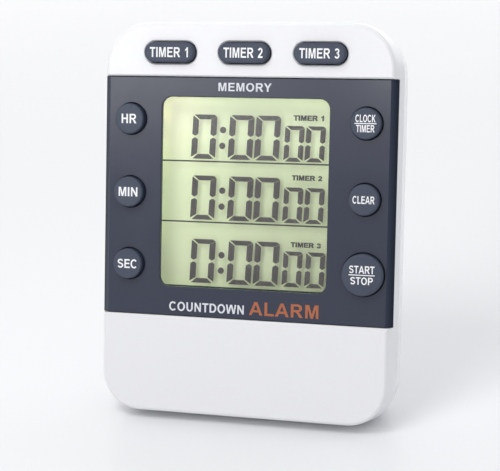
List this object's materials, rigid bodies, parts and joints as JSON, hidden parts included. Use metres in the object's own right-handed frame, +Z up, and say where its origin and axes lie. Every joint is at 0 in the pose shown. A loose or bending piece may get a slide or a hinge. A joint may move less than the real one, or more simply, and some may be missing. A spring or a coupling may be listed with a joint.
{
  "type": "lab timer",
  "caption": "Pocket-sized bench countdown timer in a white two-part case: dark face panel with a tall display, round and bar keys, fold-out stand, magnets and a battery door.",
  "frame": {"origin": "middle of the footprint on the bench, with the stand folded out", "axes": "+Z up, +X to the right as the display is read, the display faces -Y and leans back 14 degrees"},
  "size_m": [0.066, 0.0405, 0.0837],
  "materials": {
    "case_white": "glossy moulded ABS",
    "panel_slate": "satin-gloss moulded ABS",
    "key_slate": "fine matt keycap",
    "lens_clear": "clear polished acrylic",
    "polariser_film": "satin film",
    "lcd_glass": "polished",
    "lcd_reflector": "matt pale yellow-green film",
    "foam_grey": "open-cell foam",
    "zebra_rubber": "layered conductive rubber",
    "silicone_mat": "translucent silicone",
    "carbon_pill": "matt carbon-loaded rubber",
    "board_green": "solder mask",
    "epoxy_black": "cured epoxy",
    "can_steel": "plain",
    "chip_part": "matt",
    "coil_dark": "ferrite",
    "capacitor_can": "satin",
    "buzzer_brass": "satin",
    "ceramic_ivory": "silvered ceramic",
    "magnet_nickel": "nickel plate",
    "cell_can": "plain metallised sleeve",
    "contact_plating": "nickel-plated spring steel",
    "screw_steel": "zinc-plated",
    "lead_grey": "PVC sleeve",
    "lead_red": "PVC sleeve",
    "lead_black": "PVC sleeve"
  },
  "bodies": {
    "case": {"battery_cell": "cell_can", "battery_lead_black": "lead_black", "battery_lead_red": "lead_red", "battery_minus_plate": "contact_plating", "battery_minus_spring": "contact_plating", "battery_plus_plate": "contact_plating", "board_screws": "screw_steel", "boost_coil": "coil_dark", "buzzer_ceramic": "ceramic_ivory", "buzzer_leads": "lead_grey", "buzzer_plate": "buzzer_brass", "capacitor": "capacitor_can", "case_screws": "screw_steel", "chip_blob": "epoxy_black", "crystal": "can_steel", "display_window": "lens_clear", "face_panel": "panel_slate", "front_shell": "case_white", "keypad_mat": "silicone_mat", "lcd_foam_pad": "foam_grey", "lcd_front_glass": "lcd_glass", "lcd_front_polarizer": "polariser_film", "lcd_rear_glass": "lcd_glass", "lcd_reflector": "lcd_reflector", "magnet_left": "magnet_nickel", "magnet_right": "magnet_nickel", "main_board": "board_green", "rear_shell": "case_white", "small_board_parts": "chip_part", "zebra_strip_bottom": "zebra_rubber", "zebra_strip_top": "zebra_rubber"},
    "timer_1_key": {"key_timer_1": "key_slate", "contact_pill_timer_1": "carbon_pill"},
    "timer_2_key": {"key_timer_2": "key_slate", "contact_pill_timer_2": "carbon_pill"},
    "timer_3_key": {"key_timer_3": "key_slate", "contact_pill_timer_3": "carbon_pill"},
    "hour_key": {"key_hour": "key_slate", "contact_pill_hour": "carbon_pill"},
    "minute_key": {"key_minute": "key_slate", "contact_pill_minute": "carbon_pill"},
    "second_key": {"key_second": "key_slate", "contact_pill_second": "carbon_pill"},
    "clock_timer_key": {"key_clock_timer": "key_slate", "contact_pill_clock_timer": "carbon_pill"},
    "clear_key": {"key_clear": "key_slate", "contact_pill_clear": "carbon_pill"},
    "start_stop_key": {"key_start_stop": "key_slate", "contact_pill_start_stop": "carbon_pill"},
    "stand": {"stand": "case_white"},
    "battery_door": {"battery_door": "case_white"}
  },
  "joints": [
    {"name": "timer_1_press", "type": "slide", "parent": "case", "child": "timer_1_key", "axis": [0, 0.9703, -0.2419], "range_m": [0, 0.0009], "stiffness_N_per_m": 20, "deforming": ["keypad_mat"]},
    {"name": "timer_2_press", "type": "slide", "parent": "case", "child": "timer_2_key", "axis": [0, 0.9703, -0.2419], "range_m": [0, 0.0009], "stiffness_N_per_m": 20, "deforming": ["keypad_mat"]},
    {"name": "timer_3_press", "type": "slide", "parent": "case", "child": "timer_3_key", "axis": [0, 0.9703, -0.2419], "range_m": [0, 0.0009], "stiffness_N_per_m": 20, "deforming": ["keypad_mat"]},
    {"name": "hour_press", "type": "slide", "parent": "case", "child": "hour_key", "axis": [0, 0.9703, -0.2419], "range_m": [0, 0.0009], "stiffness_N_per_m": 20, "deforming": ["keypad_mat"]},
    {"name": "minute_press", "type": "slide", "parent": "case", "child": "minute_key", "axis": [0, 0.9703, -0.2419], "range_m": [0, 0.0009], "stiffness_N_per_m": 20, "deforming": ["keypad_mat"]},
    {"name": "second_press", "type": "slide", "parent": "case", "child": "second_key", "axis": [0, 0.9703, -0.2419], "range_m": [0, 0.0009], "stiffness_N_per_m": 20, "deforming": ["keypad_mat"]},
    {"name": "clock_timer_press", "type": "slide", "parent": "case", "child": "clock_timer_key", "axis": [0, 0.9703, -0.2419], "range_m": [0, 0.0009], "stiffness_N_per_m": 20, "deforming": ["keypad_mat"]},
    {"name": "clear_press", "type": "slide", "parent": "case", "child": "clear_key", "axis": [0, 0.9703, -0.2419], "range_m": [0, 0.0009], "stiffness_N_per_m": 20, "deforming": ["keypad_mat"]},
    {"name": "start_stop_press", "type": "slide", "parent": "case", "child": "start_stop_key", "axis": [0, 0.9703, -0.2419], "range_m": [0, 0.0009], "stiffness_N_per_m": 20, "deforming": ["keypad_mat"]},
    {"name": "stand_fold", "type": "hinge", "parent": "case", "child": "stand", "pos_m": [0, 0.00132, 0.02646], "axis": [1, 0, 0], "range_deg": [0, 130.05], "stiffness_Nm_per_rad": 0.15},
    {"name": "battery_door_open", "type": "hinge", "parent": "case", "child": "battery_door", "pos_m": [0, -0.00335, 0.00608], "axis": [-1, 0, 0], "range_deg": [0, 85]}
  ]
}
